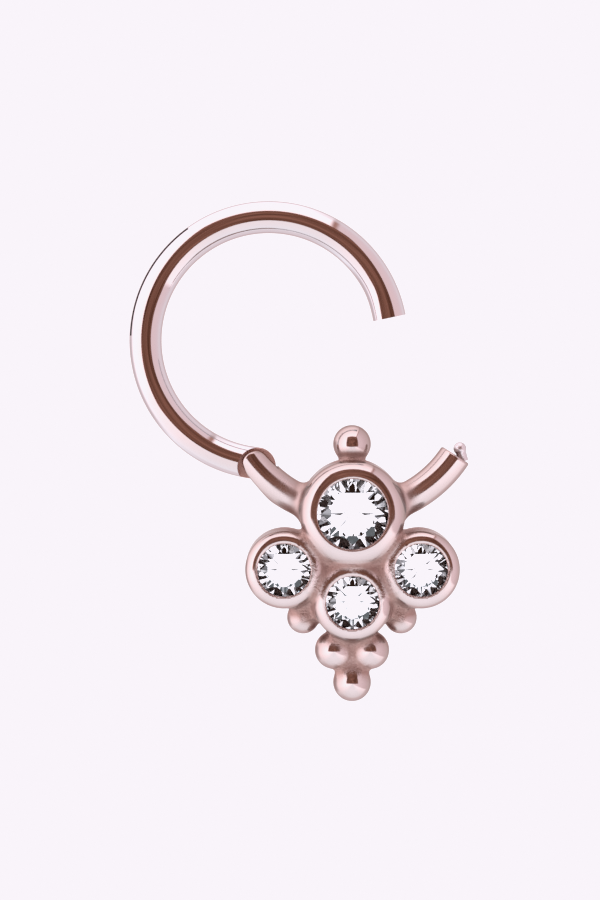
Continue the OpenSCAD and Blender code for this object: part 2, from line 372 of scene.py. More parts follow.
def gate_field(p):
    """Signed distance to the gate, and how much of the fillets' solder lies at each point."""
    wire = np.hypot(np.hypot(p[:, 0], p[:, 1]) - RING_R, p[:, 2] - WIRE_Z) - WIRE_R
    # the half of the circle above the hinge and the latch is not there
    wire = np.maximum(wire, p[:, 1] - GATE_TOP_Y)
    body = plain = soft_union(wire, cup_distance(p, MAIN), ARM_FILLET)
    for s in (LEFT, RIGHT, LOWER):
        cup = cup_distance(p, s)
        body = soft_union(body, cup, CUP_FILLET)
        plain = np.minimum(plain, cup)
    neck = np.hypot(p[:, 0], p[:, 2] - NECK_Z) - NECK_R
    neck = np.maximum(neck, np.abs(p[:, 1] - NECK_Y) - NECK_HALF)
    body = soft_union(body, neck, NECK_FILLET)
    plain = np.minimum(plain, neck)
    for corners, top, k in WEBS:
        sheet = np.maximum(outline_distance(p[:, 0], p[:, 1], corners), p[:, 2] - top)
        body = soft_union(body, np.maximum(sheet, WEB_LOW - p[:, 2]), k)
    for x, y, r in BEADS:
        bead = np.sqrt((p[:, 0] - x) ** 2 + (p[:, 1] - y) ** 2 + (p[:, 2] - r - BEAD_LIFT) ** 2) - r
        body = soft_union(body, bead, BEAD_FILLET)
        plain = np.minimum(plain, bead)
    solder = np.clip((plain - body) / SOLDER_DEPTH, 0, 1)
    for s in SETTINGS.values():
        body = soft_cut(body, seat_distance(p, s), CUT_ROUND)

    # knuckle, its slot, the flats on its outer side and the pin's blind hole
    along, inward = at_hinge(p)
    out = np.hypot(along, inward)
    at_left = p[:, 0] < HINGE_SIDE_X
    end = np.where(along < 0, out - KNUCKLE_R, np.abs(inward) - KNUCKLE_R - along)
    body = np.where(at_left, soft_cut(body, -end, KNUCKLE_ROUND), body)
    slot = np.maximum(np.abs(p[:, 2] - WIRE_Z) - SLOT_HALF, out - SLOT_R)
    body = soft_cut(body, slot, CUT_ROUND)
    for lean, reach in FLATS:
        flat = -along * math.sin(lean) - inward * math.cos(lean) - reach
        body = np.where(at_left & (along < FLAT_LEN), soft_cut(body, -flat, FLAT_ROUND), body)
    hole = np.maximum(out - PIN_R - PIN_FIT, p[:, 2] - PIN_TOP - PIN_FIT)
    body = soft_cut(body, hole, HOLE_ROUND)

    # flat end at the latch, and the flat back
    ahead = (p[:, 0] - LATCH[0]) * -math.sin(LATCH_AT) + (p[:, 1] - LATCH[1]) * math.cos(LATCH_AT)
    at_right = p[:, 0] > LATCH_SIDE_X
    ended = soft_cut(body, -(ahead + LATCH_HALF_GAP), LATCH_ROUND)
    body = np.where(at_right, ended, body)
    body = soft_cut(body, p[:, 2], CUT_ROUND)
    return body, solder


def slope_of(field, p, reach=0.003):
    """Gradient of a field by differences across a small reach."""
    steps = np.eye(3) * reach
    return np.stack([(field(p + d)[0] - field(p - d)[0]) / (2 * reach) for d in steps], 1)


def recess_of(field, p, slope, reaches=(0.12, 0.25, 0.5, 0.9)):
    """How closed in each point lies, from 0 in the open to 1 deep in a crevice.

    Straight out from an open skin the distance grows as far as one goes; between walls it
    grows less. The shortfall is averaged over a few reaches.
    """
    lacks = [1 - np.clip(field(p + slope * d)[0] / d, 0, 1) for d in reaches]
    return np.mean(lacks, axis=0)


def skin_of(field, low, high, step, rounds=4, flattest=0.05, longest=0.6):
    """Closed skin where a field is zero.

    Each cell of a cubic grid that the skin crosses gives one point: the mean of the places
    where its edges are crossed, moved along the field's slope until the field is zero there.
    Each crossed edge of the grid gives one quad between the four cells round it. A move counts
    a squared slope as at least flattest, and reaches at most longest steps.
    """
    axes = [np.arange(a, b + step, step) for a, b in zip(low, high)]
    shape = tuple(len(a) for a in axes)
    values = np.empty(shape)
    for i, x in enumerate(axes[0]):
        y, z = np.meshgrid(axes[1], axes[2], indexing="ij")
        sheet = np.stack([np.full(y.size, x), y.ravel(), z.ravel()], 1)
        values[i] = field(sheet)[0].reshape(y.shape)
    inside = values < 0
    offsets = [(i, j, k) for i in (0, 1) for j in (0, 1) for k in (0, 1)]

    def corner(array, o):
        """The grid's values at one corner of every cell."""
        return array[tuple(slice(a, n - 1 + a) for a, n in zip(o, shape))]

    count = sum(corner(inside, o).astype(np.int8) for o in offsets)
    crossed = (count > 0) & (count < 8)
    index = np.full(crossed.shape, -1)
    index[crossed] = np.arange(crossed.sum())
    cells = np.argwhere(crossed)
    total, hits = np.zeros((len(cells), 3)), np.zeros(len(cells))
    for a in offsets:
        for axis in range(3):
            if a[axis]:
                continue
            b = tuple(v + (n == axis) for n, v in enumerate(a))
            f, g = corner(values, a)[crossed], corner(values, b)[crossed]
            cut = (f < 0) != (g < 0)
            t = np.where(cut, f / np.where(cut, f - g, 1), 0)
            place = np.array(a) + t[:, None] * (np.arange(3) == axis)
            total += np.where(cut[:, None], place, 0)
            hits += cut
    points = np.array([a[0] for a in axes]) + (cells + total / hits[:, None]) * step
    for _ in range(rounds):
        f, g = field(points)[0], slope_of(field, points)
        move = g * (f / np.maximum((g * g).sum(1), flattest))[:, None]
        far = np.linalg.norm(move, axis=1) / (longest * step)
        points = points - move / np.maximum(far, 1)[:, None]

    quads = []
    for axis in range(3):
        b, c = (axis + 1) % 3, (axis + 2) % 3
        core = [slice(1, -1)] * 3
        core[axis] = slice(0, -1)
        ahead = list(core)
        ahead[axis] = slice(1, None)
        one, two = inside[tuple(core)], inside[tuple(ahead)]
        at = np.argwhere(one != two) + np.array([0 if n == axis else 1 for n in range(3)])
        first = one[one != two]
        ring = []
        for db, dc in ((-1, -1), (0, -1), (0, 0), (-1, 0)):
            cell = at.copy()
            cell[:, b] += db
            cell[:, c] += dc
            ring.append(index[cell[:, 0], cell[:, 1], cell[:, 2]])
        ring = np.stack(ring, 1)
        quads.append(np.where(first[:, None], ring, ring[:, ::-1]))
    return points, np.concatenate(quads)


GATE_LOW = (-4.4, -11.75, -0.09)
GATE_HIGH = (4.7, -1.25, 2.09)
FINE_STEP = 0.0485
# Under a lip all is recess, from this far outside its edge and this far below its crest
LIP_ASIDE = 0.015
LIP_DOWN = 0.02
# The wire's skin counts as arm within this distance, and is rubbed this far from the main cup
WIRE_NEAR = 0.15
RUBBED_LEFT = 1.7
RUBBED_RIGHT = 0.9


def gate_piece(material):
    """The gate's casting, with its exact slopes as normals.

    Its attributes give at each point the share of solder, how deep it lies in a recess, and how
    much it is rubbed to a duller gloss; solder and recess set where the material paints shade.
    """
    step = FINE_STEP
    points, quads = skin_of(gate_field, GATE_LOW, GATE_HIGH, step)
    slope = slope_of(gate_field, points)
    slope /= np.linalg.norm(slope, axis=1)[:, None]
    piece = make_piece("gate", with_gate(points), quads, material)
    piece.data.normals_split_custom_set_from_vertices(slope.tolist())
    recess = recess_of(gate_field, points, slope)
    # inside a cup, under its lip, all is recess and takes the full painted shade
    for s in SETTINGS.values():
        r = np.hypot(points[:, 0] - s[0], points[:, 1] - s[1])
        recess[(r < s[4] - LIP_OVER + LIP_ASIDE) & (points[:, 2] < s[3] - LIP_DOWN)] = 1
    # the left arm is rubbed duller over most of its length and the right arm only beside the cup
    beside = np.hypot(points[:, 0] - MAIN[0], points[:, 1] - MAIN[1]) - MAIN[2]
    off_line = np.hypot(np.hypot(points[:, 0], points[:, 1]) - RING_R, points[:, 2] - WIRE_Z)
    on_wire = np.abs(off_line - WIRE_R) < WIRE_NEAR
    reach = np.where(points[:, 0] < 0, RUBBED_LEFT, RUBBED_RIGHT)
    rubbed = np.clip(1 - beside / reach, 0, 1) * on_wire
    solder = gate_field(points)[1]
    for name, values in (("solder", solder), ("recess", recess), ("rubbed", rubbed)):
        mask = piece.data.attributes.new(name, "FLOAT", "POINT")
        mask.data.foreach_set("value", values.astype(np.float32))
    return piece


# Pins
def hinge_pin_skin(soft=0.02, count=48):
    """A turned pin with slightly softened ends, upright through the knuckle."""
    radii = [0, PIN_R - soft, PIN_R - 0.3 * soft, PIN_R, PIN_R, PIN_R - soft, 0]
    heights = [PIN_LOW, PIN_LOW, PIN_LOW + 0.3 * soft, PIN_LOW + soft,
               PIN_TOP - soft, PIN_TOP, PIN_TOP]
    points, faces = swept_grid(lathe_rows(radii, heights, count))
    points[:, :2] += HINGE
    return with_gate(points), faces


def latch_pin_skin(ball_rows=28, count=48):
    """A turned pin: a ball, and a thinner shank that runs back into the gate."""
    a = np.linspace(math.pi / 2, -math.acos(SHANK_R / BALL_R), ball_rows)
    radii = list(BALL_R * np.cos(a)) + [SHANK_R, 0]
    heights = list(BALL_R * np.sin(a)) + [-SHANK_LEN, -SHANK_LEN]
    points, faces = swept_grid(lathe_rows(radii, heights, count))
    # the turned axis lies along the shank's lean, with the ball at its front
    front = np.array([math.cos(SHANK_LEAN), math.sin(SHANK_LEAN), 0.0])
    side = np.array([-front[1], front[0], 0.0])
    up = np.array([0.0, 0.0, 1.0])
    placed = points[:, :1] * side + points[:, 1:2] * -up + points[:, 2:] * front
    placed += [BALL[0], BALL[1], WIRE_Z]
    return with_gate(placed), faces


# Stones
def ring_of(count, radius, height, first=0.0):
    """count points on a level circle, the first at the given angle."""
    a = first + np.arange(count) * 2 * math.pi / count
    return np.stack([radius * np.cos(a), radius * np.sin(a), np.full(count, float(height))], 1)


def brilliant(s, table=0.62, star=0.84, pavilion=0.5, lower=0.22):
    """A round brilliant from seven rings of points: table, stars, girdle twice, lower, culet.

    A star's height lies in the plane through the table's corner and the girdle, and a lower
    point's in the plane through the culet and the girdle, so every facet is flat.
    """
    r, d = s[4], 2 * s[4]
    half = math.pi / 8
    top = s[3] - TABLE_SINK
    up = top - CROWN * d
    low = up - GIRDLE * d
    tip = low - pavilion * d
    rt, rs, rl = table * r, star * r, lower * r
    star_z = top - (rs * math.cos(half) - rt) * (top - up) / (r - rt)
    lower_z = tip + rl * math.cos(half) * (low - tip) / r
    points = np.concatenate([
        ring_of(8, rt, top), ring_of(8, rs, star_z, half), ring_of(16, r, up),
        ring_of(16, r, low), ring_of(8, rl, lower_z, half), [[0, 0, tip]]])
    T, S, G, L, P, C = 0, 8, 16, 32, 48, 56
    n = range(8)
    faces = [[T + i for i in n]]
    for i in n:
        j = (i + 1) % 8
        faces += [[T + i, S + i, T + j],
                  [T + i, S + (i + 7) % 8, G + 2 * i, S + i],
                  [S + i, G + 2 * i, G + 2 * i + 1],
                  [S + i, G + 2 * i + 1, G + (2 * i + 2) % 16],
                  [L + 2 * i, P + i, L + 2 * i + 1],
                  [L + 2 * i + 1, P + i, L + (2 * i + 2) % 16],
                  [C, P + i, L + 2 * i, P + (i + 7) % 8]]
    faces += [[G + i, L + i, L + (i + 1) % 16, G + (i + 1) % 16] for i in range(16)]
    c, q = math.cos(half), math.sin(half)
    turned = points.copy()
    turned[:, 0] = points[:, 0] * c - points[:, 1] * q + s[0]
    turned[:, 1] = points[:, 0] * q + points[:, 1] * c + s[1]
    return with_gate(turned), faces


# Node helpers
def new_nodes(owner):
    """The emptied node tree of a material or a world, as its nodes and its links."""
    owner.use_nodes = True
    owner.node_tree.nodes.clear()
    return owner.node_tree.nodes, owner.node_tree.links


def add_node(nodes, kind, values=None, **settings):
    """A node with its settings and its unlinked inputs set by name or number."""
    made = nodes.new(kind)
    for key, value in settings.items():
        setattr(made, key, value)
    for key, value in (values or {}).items():
        made.inputs[key].default_value = value
    return made


def new_material(name):
    """A material with an empty node tree."""
    made = bpy.data.materials.new(name)
    nodes, links = new_nodes(made)
    return made, nodes, links


def build_polish_group():
    """Traces that polishing leaves: soft cloudy gloss, hairlines and a faint waviness."""
    group = bpy.data.node_groups.new("polish_traces", "ShaderNodeTree")
    for socket, value in (("Cloud Scale", 900.0), ("Line Scale", 6000.0), ("Gloss", 0.06),
                          ("Gloss Change", 0.04), ("Line Depth", 0.1)):
        made = group.interface.new_socket(socket, in_out="INPUT", socket_type="NodeSocketFloat")
        made.default_value = value
    group.interface.new_socket("Roughness", in_out="OUTPUT", socket_type="NodeSocketFloat")
    group.interface.new_socket("Height", in_out="OUTPUT", socket_type="NodeSocketFloat")
    group.interface.new_socket("Cloud", in_out="OUTPUT", socket_type="NodeSocketFloat")
    nodes, links = group.nodes, group.links
    given = nodes.new("NodeGroupInput")
    put = nodes.new("NodeGroupOutput")
    place = nodes.new("ShaderNodeTexCoord")
    cloud = add_node(nodes, "ShaderNodeTexNoise", {"Detail": 4.0, "Roughness": 0.6})
    lines = add_node(nodes, "ShaderNodeTexNoise",
                     {"Detail": 2.0, "Roughness": 0.5, "Distortion": 0.6})
    links.new(place.outputs["Object"], cloud.inputs["Vector"])
    links.new(place.outputs["Object"], lines.inputs["Vector"])
    links.new(given.outputs["Cloud Scale"], cloud.inputs["Scale"])
    links.new(given.outputs["Line Scale"], lines.inputs["Scale"])
    rough = add_node(nodes, "ShaderNodeMath", operation="MULTIPLY_ADD")
    links.new(cloud.outputs["Fac"], rough.inputs[0])
    links.new(given.outputs["Gloss Change"], rough.inputs[1])
    links.new(given.outputs["Gloss"], rough.inputs[2])
    height = add_node(nodes, "ShaderNodeMath", operation="MULTIPLY_ADD")
    links.new(lines.outputs["Fac"], height.inputs[0])
    links.new(given.outputs["Line Depth"], height.inputs[1])
    links.new(cloud.outputs["Fac"], height.inputs[2])
    links.new(rough.outputs[0], put.inputs["Roughness"])
    links.new(height.outputs[0], put.inputs["Height"])
    links.new(cloud.outputs["Fac"], put.inputs["Cloud"])
    return group


def rose_metal(name, polish, level, side, gloss, change, depth):
    """Mirror metal with a thin rose coat: colour and gloss drift with the polishing traces.

    Level faces, up or down, have the colour level. Steeper ones turn towards the colour side:
    this is painted shading of the steep sides, dark brown on the casting, darker on the pins and
    greyer on the hoop. The gloss changes by change over the traces' clouds, and the hairlines are
    up to depth deep, in metres.
    """
    made, nodes, links = new_material(name)
    traces = add_node(nodes, "ShaderNodeGroup", node_tree=polish)
    traces.inputs["Gloss"].default_value = gloss
    traces.inputs["Gloss Change"].default_value = change
    traces.inputs["Line Depth"].default_value = LINE_DEPTH
    colour = add_node(nodes, "ShaderNodeMix", data_type="RGBA", blend_type="MIX")
    colour.inputs["A"].default_value = (*level, 1)
    clouded = [share * part for share, part in zip(CLOUDED, level)]
    colour.inputs["B"].default_value = (*clouded, 1)
    links.new(traces.outputs["Cloud"], colour.inputs["Factor"])
    # painted slope shading: the steeper the face, after its normal's height, the more it takes the
    # side colour
    place = nodes.new("ShaderNodeTexCoord")
    facing = nodes.new("ShaderNodeSeparateXYZ")
    links.new(place.outputs["Normal"], facing.inputs[0])
    upright = add_node(nodes, "ShaderNodeMath", operation="ABSOLUTE")
    links.new(facing.outputs["Z"], upright.inputs[0])
    share = add_node(nodes, "ShaderNodeMapRange", {"From Min": LEVEL_FROM, "From Max": STEEP_FROM})
    links.new(upright.outputs[0], share.inputs["Value"])
    slope_shaded = add_node(nodes, "ShaderNodeMix", data_type="RGBA", blend_type="MIX")
    slope_shaded.inputs["B"].default_value = (*side, 1)
    links.new(share.outputs["Result"], slope_shaded.inputs["Factor"])
    links.new(colour.outputs["Result"], slope_shaded.inputs["A"])
    shader = add_node(nodes, "ShaderNodeBsdfPrincipled", {"Metallic": 1.0})
    bump = add_node(nodes, "ShaderNodeBump", {"Strength": 1.0, "Distance": depth})
    links.new(traces.outputs["Height"], bump.inputs["Height"])
    links.new(bump.outputs["Normal"], shader.inputs["Normal"])
    links.new(traces.outputs["Roughness"], shader.inputs["Roughness"])
    links.new(slope_shaded.outputs["Result"], shader.inputs["Base Color"])
    out = nodes.new("ShaderNodeOutputMaterial")
    links.new(shader.outputs[0], out.inputs["Surface"])
    return made


def add_casting_marks(material):
    """Solder and crevices, and the rubbed arms, after the skin's three attributes.

    Solder is crinkled. Solder and crevices are satin and take painted shade in brown, and rubbed
    metal is duller.
    """
    nodes, links = material.node_tree.nodes, material.node_tree.links
    shader = next(node for node in nodes if node.type == "BSDF_PRINCIPLED")
    solder = add_node(nodes, "ShaderNodeAttribute", attribute_name="solder")
    recess = add_node(nodes, "ShaderNodeAttribute", attribute_name="recess")
    place = nodes.new("ShaderNodeTexCoord")
    grain = add_node(nodes, "ShaderNodeTexNoise", {"Scale": 9000.0, "Detail": 3.0, "Roughness": 0.7})
    links.new(place.outputs["Object"], grain.inputs["Vector"])
    crinkle = add_node(nodes, "ShaderNodeMath", operation="MULTIPLY")
    links.new(grain.outputs["Fac"], crinkle.inputs[0])
    links.new(solder.outputs["Fac"], crinkle.inputs[1])
    bump = add_node(nodes, "ShaderNodeBump", {"Strength": 1.0, "Distance": CRINKLE_DEPTH})
    links.new(crinkle.outputs[0], bump.inputs["Height"])
    links.new(shader.inputs["Normal"].links[0].from_socket, bump.inputs["Normal"])
    links.new(bump.outputs["Normal"], shader.inputs["Normal"])
    # solder and recesses, the deeper the more, turn satin and take painted shade
    deep = add_node(nodes, "ShaderNodeMapRange", {"From Min": 0.05, "From Max": 0.5})
    links.new(recess.outputs["Fac"], deep.inputs["Value"])
    dull_and_shaded = add_node(nodes, "ShaderNodeMath", {1: 0.6}, operation="MULTIPLY_ADD", use_clamp=True)
    links.new(solder.outputs["Fac"], dull_and_shaded.inputs[0])
    links.new(deep.outputs["Result"], dull_and_shaded.inputs[2])
    satin = add_node(nodes, "ShaderNodeMapRange",
                     {"From Min": 0.3, "From Max": 0.7, "To Min": 0.38, "To Max": 0.58})
    links.new(grain.outputs["Fac"], satin.inputs["Value"])
    rubbed = add_node(nodes, "ShaderNodeAttribute", attribute_name="rubbed")
    brushed = add_node(nodes, "ShaderNodeMath", {1: RUBBED_DULLER}, operation="MULTIPLY_ADD")
    links.new(rubbed.outputs["Fac"], brushed.inputs[0])
    links.new(shader.inputs["Roughness"].links[0].from_socket, brushed.inputs[2])
    rougher = add_node(nodes, "ShaderNodeMix", data_type="FLOAT")
    links.new(dull_and_shaded.outputs[0], rougher.inputs["Factor"])
    links.new(brushed.outputs[0], rougher.inputs["A"])
    links.new(satin.outputs["Result"], rougher.inputs["B"])
    links.new(rougher.outputs["Result"], shader.inputs["Roughness"])
    # painted shade: the same share mixes the colour towards a brown
    shade_browned = add_node(nodes, "ShaderNodeMix", data_type="RGBA", blend_type="MIX")
    shade_browned.inputs["B"].default_value = (*FILLET_SHADE_BROWN, 1)
    links.new(dull_and_shaded.outputs[0], shade_browned.inputs["Factor"])
    links.new(shader.inputs["Base Color"].links[0].from_socket, shade_browned.inputs["A"])
    links.new(shade_browned.outputs["Result"], shader.inputs["Base Color"])


def crystal(name, polish):
    """Clear cut crystal with polished facets and the faintest polishing traces."""
    made, nodes, links = new_material(name)
    traces = add_node(nodes, "ShaderNodeGroup", node_tree=polish)
    traces.inputs["Gloss"].default_value = 0.0
    traces.inputs["Gloss Change"].default_value = 0.004
    shader = add_node(nodes, "ShaderNodeBsdfPrincipled",
                      {"Base Color": (1, 1, 1, 1), "Transmission Weight": 1.0, "IOR": STONE_IOR,
                       "Specular Tint": (*STONE_GLOSS, 1)})
    links.new(traces.outputs["Roughness"], shader.inputs["Roughness"])
    out = nodes.new("ShaderNodeOutputMaterial")
    links.new(shader.outputs[0], out.inputs["Surface"])
    return made


# Make the pieces
ROSE = (0.79, 0.555, 0.515)
PIN_ROSE = (0.84, 0.63, 0.61)
# Brown of the hinge's cut faces: painted shade in the slot between hoop and gate
CUT_SHADE_BROWN = (0.66, 0.34, 0.28)
# Brown of the painted shade in the casting's solder and recesses
FILLET_SHADE_BROWN = (0.46, 0.25, 0.21)
# Colours of steep faces, painted slope shading: darker on the casting and the pins, greyer on the hoop
HOOP_SLOPE_SHADING = (0.72, 0.6, 0.6)
CAST_SLOPE_SHADING = (0.38, 0.225, 0.19)
PIN_SLOPE_SHADING = (0.62, 0.48, 0.47)
# How much of each colour is left in the polish's clouds
CLOUDED = (0.95, 0.92, 0.92)
# A face counts as level above the first of these upright shares and as steep below the second;
# between the two the painted slope shading grows
LEVEL_FROM = 0.96
STEEP_FROM = 0.3
LINE_DEPTH = 0.15
CRINKLE_DEPTH = 5e-5
RUBBED_DULLER = 0.3
STONE_IOR = 2.4
STONE_GLOSS = (0.6, 0.54, 0.52)
HOOP_BEVEL = 0.028
HOOP_SHARP = math.radians(35)
BEVEL_FROM = math.radians(40)
PIN_SHARP = math.radians(40)
# Faces of the hoop this little beyond the tongue's radius still count as machined
CUT_REACH = 0.002

polish = build_polish_group()
metal = rose_metal("rose_metal_bright", polish, ROSE, HOOP_SLOPE_SHADING,
                   gloss=0.03, change=0.06, depth=2e-7)
cast_metal = rose_metal("rose_metal_cast", polish, ROSE, CAST_SLOPE_SHADING,
                        gloss=0.06, change=0.08, depth=4e-7)
add_casting_marks(cast_metal)
pin_metal = rose_metal("rose_metal_pins", polish, PIN_ROSE, PIN_SLOPE_SHADING,
                       gloss=0.32, change=0.06, depth=2e-7)
# the hinge's cut faces take painted shade in brown
cut_metal = rose_metal("rose_metal_cut", polish, CUT_SHADE_BROWN, CUT_SHADE_BROWN,
                       gloss=0.36, change=0.2, depth=4e-6)
stone_glass = crystal("clear_crystal", polish)

points, faces = hoop_skin()
hoop = make_piece("hoop_wire", points, faces, metal)
hoop.data.materials.append(cut_metal)
from_pin = np.hypot(*(points[:, :2] + MIDDLE - HINGE).T)
cut_faces = [max(from_pin[face]) < TONGUE_R + CUT_REACH for face in faces]
hoop.data.polygons.foreach_set("material_index", np.array(cut_faces, np.int32))
hoop.data.set_sharp_from_angle(angle=HOOP_SHARP)
add_modifier(hoop, "BEVEL", width=HOOP_BEVEL * MM, segments=2, limit_method="ANGLE",
             angle_limit=BEVEL_FROM, use_clamp_overlap=True)
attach(hoop, "hoop")
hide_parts("hoop")

# rays inside a stone pass the gate and meet the studio, as the cups would darken the stones
gate = gate_piece(cast_metal)
gate.visible_transmission = False
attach(gate, "gate")
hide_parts("gate")

for name, skin in (("hinge_pin", hinge_pin_skin()), ("latch_pin", latch_pin_skin())):
    pin = make_piece(name + "_turned", skin[0], skin[1], pin_metal)
    pin.data.set_sharp_from_angle(angle=PIN_SHARP)
    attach(pin, "gate")
    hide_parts(name)

for name, setting in SETTINGS.items():
    points, faces = brilliant(setting)
    stone = make_piece(name + "_cut", points, faces, stone_glass, smooth=False)
    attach(stone, "gate")
    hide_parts(name)


# Floor, light and camera
PALE = (0.947, 0.905, 0.956)
# The studio that the metal mirrors, by side, and the tint of its image in other metal
STUDIO_WHITE = (1.64, 1.86, 1.97)
STUDIO_NEAR = (1.15, 1.48, 1.58)
STUDIO_RIGHT = (0.97, 1.03, 1.1)
STUDIO_EDGE = (0.5, 0.36, 0.31)
STUDIO_LOW = (1.0, 1.1, 1.15)
STUDIO_LOW_LEFT = (0.8, 0.86, 0.9)
STUDIO_BELOW = (0.78, 0.68, 0.66)
STUDIO_AGAIN = (0.72, 1.0, 1.06)
SHOWN_WHITE = 1.2
# Columns of a side: its direction in degrees, where 0 is +X and 90 is +Y, and how far a ray
# points there, from -1 to 1, where the side begins and where it is full
NEAR_SIDE = (-90, 0.3, 0.9)
RIGHT_SIDE = (16, 0.69, 0.72)
EDGE_OUTER = (16, 0.68, 0.7)
EDGE_INNER = (16, 0.735, 0.715)
EDGE_FAR = (90, 0.0, 0.2)
LOW_SIDE = (-30, -0.3, 0.1)
LOW_LEFT_SIDE = (196, 0.87, 0.96)
# How far a ray points down where each low colour begins and where it is full
LOW_DOWN = (0.05, 0.35)
LOW_LEFT_DOWN = (0.15, 0.5)
BELOW_DOWN = (0.55, 0.9)
# Ray depths about which an image of an image begins
AGAIN_DEPTH = (2.4, 2.6)
# What the stones refract: white overhead, patches round it, and how ragged their border is
STONE_WHITE = (2.0, 2.0, 2.05)
STONE_GREY = (0.4, 0.4, 0.42)
STONE_DARK = (0.0, 0.0, 0.0)
PATCH_SCALE = 1.8
PATCH_GREY = (0.52, 0.54)
PATCH_WHITE = (0.58, 0.59)
OVERHEAD = (0.79, 0.81)
RAGGED_SCALE = 3.0
RAGGED = 0.3
# The card above, in mm: left, right, near and far edge on the closed ring, and its height
CARD_EDGES = (-26, 26, -11.5, 40)
CARD_Z = 37
CARD_DARK = (0.1, 0.05, 0.03)
CARD_LIGHT = (0.34, 0.21, 0.155)
CARD_AGAIN = (0.5, 0.5, 0.5)
CARD_AGAIN_DEPTH = 1.5
STREAKS_PER_M = 110.0
STREAK_TURNS = 1.6
# The dark paper on the left: radii round the hoop, its two ends, and its height
PAPER_R = (6.4, 8.8)
PAPER_ENDS = (math.radians(126), math.radians(178))
PAPER_Z = -1.0
PAPER_BLACK = (0.04, 0.035, 0.035)
FLOOR_HALF = 300
FLOOR_Z = -0.002
FLOOR_MIRRORED = (0.62, 0.58, 0.60)


def level_sheet(name, x0, x1, y0, y1, z, material):
    """A level rectangle between two corners, in mm."""
    points = np.array([[x0, y0, z], [x1, y0, z], [x1, y1, z], [x0, y1, z]], float)
    sheet = make_piece(name, points, [[0, 1, 2, 3]], material, smooth=False)
    return sheet


def floor_material():
    """A floor that is plain white to the eye and a soft grey to diffuse light."""
    made, nodes, links = new_material("pale_floor")
    path = nodes.new("ShaderNodeLightPath")
    seen = add_node(nodes, "ShaderNodeEmission", {"Color": (1, 1, 1, 1), "Strength": SHOWN_WHITE})
    mirrored = add_node(nodes, "ShaderNodeEmission",
                        {"Color": (*FLOOR_MIRRORED, 1), "Strength": 1.0})
    mix = nodes.new("ShaderNodeMixShader")
    links.new(path.outputs["Is Camera Ray"], mix.inputs[0])
    links.new(mirrored.outputs[0], mix.inputs[1])
    links.new(seen.outputs[0], mix.inputs[2])
    out = nodes.new("ShaderNodeOutputMaterial")
    links.new(mix.outputs[0], out.inputs["Surface"])
    return made


def card_material():
    """A brown card above the ring, streaked in rings; its mirror image is the wire's stripe.

    In the metal's image of other metal it's paler.
    """
    made, nodes, links = new_material("brown_card")
    place = nodes.new("ShaderNodeTexCoord")
    flat = add_node(nodes, "ShaderNodeVectorMath", {1: (1, 1, 0)}, operation="MULTIPLY")
    links.new(place.outputs["Object"], flat.inputs[0])
    radius = add_node(nodes, "ShaderNodeVectorMath", operation="LENGTH")
    links.new(flat.outputs[0], radius.inputs[0])
    around = add_node(nodes, "ShaderNodeVectorMath", operation="NORMALIZE")
    links.new(flat.outputs[0], around.inputs[0])
    high = add_node(nodes, "ShaderNodeMath", {1: STREAKS_PER_M}, operation="MULTIPLY")
    links.new(radius.outputs["Value"], high.inputs[0])
    rise = nodes.new("ShaderNodeCombineXYZ")
    links.new(high.outputs[0], rise.inputs["Z"])
    spot = add_node(nodes, "ShaderNodeVectorMath", {1: (STREAK_TURNS,) * 3},
                    operation="MULTIPLY_ADD")
    links.new(around.outputs[0], spot.inputs[0])
    links.new(rise.outputs[0], spot.inputs[2])
    streaks = add_node(nodes, "ShaderNodeTexNoise", {"Scale": 1.0, "Detail": 3.0, "Roughness": 0.6})
    links.new(spot.outputs[0], streaks.inputs["Vector"])
    share = add_node(nodes, "ShaderNodeMapRange", {"From Min": 0.35, "From Max": 0.7})
    links.new(streaks.outputs["Fac"], share.inputs["Value"])
    brown = add_node(nodes, "ShaderNodeMix", data_type="RGBA")
    brown.inputs["A"].default_value = (*CARD_DARK, 1)
    brown.inputs["B"].default_value = (*CARD_LIGHT, 1)
    links.new(share.outputs["Result"], brown.inputs["Factor"])
    path = nodes.new("ShaderNodeLightPath")
    again = add_node(nodes, "ShaderNodeMath", {1: CARD_AGAIN_DEPTH}, operation="GREATER_THAN")
    links.new(path.outputs["Ray Depth"], again.inputs[0])
    shown = add_node(nodes, "ShaderNodeMix", data_type="RGBA")
    shown.inputs["B"].default_value = (*CARD_AGAIN, 1)
    links.new(again.outputs[0], shown.inputs["Factor"])
    links.new(brown.outputs["Result"], shown.inputs["A"])
    shader = add_node(nodes, "ShaderNodeEmission", {"Strength": 1.0})
    links.new(shown.outputs["Result"], shader.inputs["Color"])
    out = nodes.new("ShaderNodeOutputMaterial")
    links.new(shader.outputs[0], out.inputs["Surface"])
    return made


floor = level_sheet("floor", -FLOOR_HALF, FLOOR_HALF, -FLOOR_HALF, FLOOR_HALF, FLOOR_Z,
                    floor_material())
floor.visible_glossy = False
floor.visible_transmission = False
card_x = [x - MIDDLE[0] for x in CARD_EDGES[:2]]
card_y = [y - MIDDLE[1] for y in CARD_EDGES[2:]]
card = level_sheet("card_above", *card_x, *card_y, CARD_Z, card_material())


def flat_emitter(name, colour):
    """A surface that shows one colour by itself; the eye never meets it, only its mirror image."""
    made, nodes, links = new_material(name)
    shader = add_node(nodes, "ShaderNodeEmission", {"Color": (*colour, 1), "Strength": 1.0})
    out = nodes.new("ShaderNodeOutputMaterial")
    links.new(shader.outputs[0], out.inputs["Surface"])
    return made


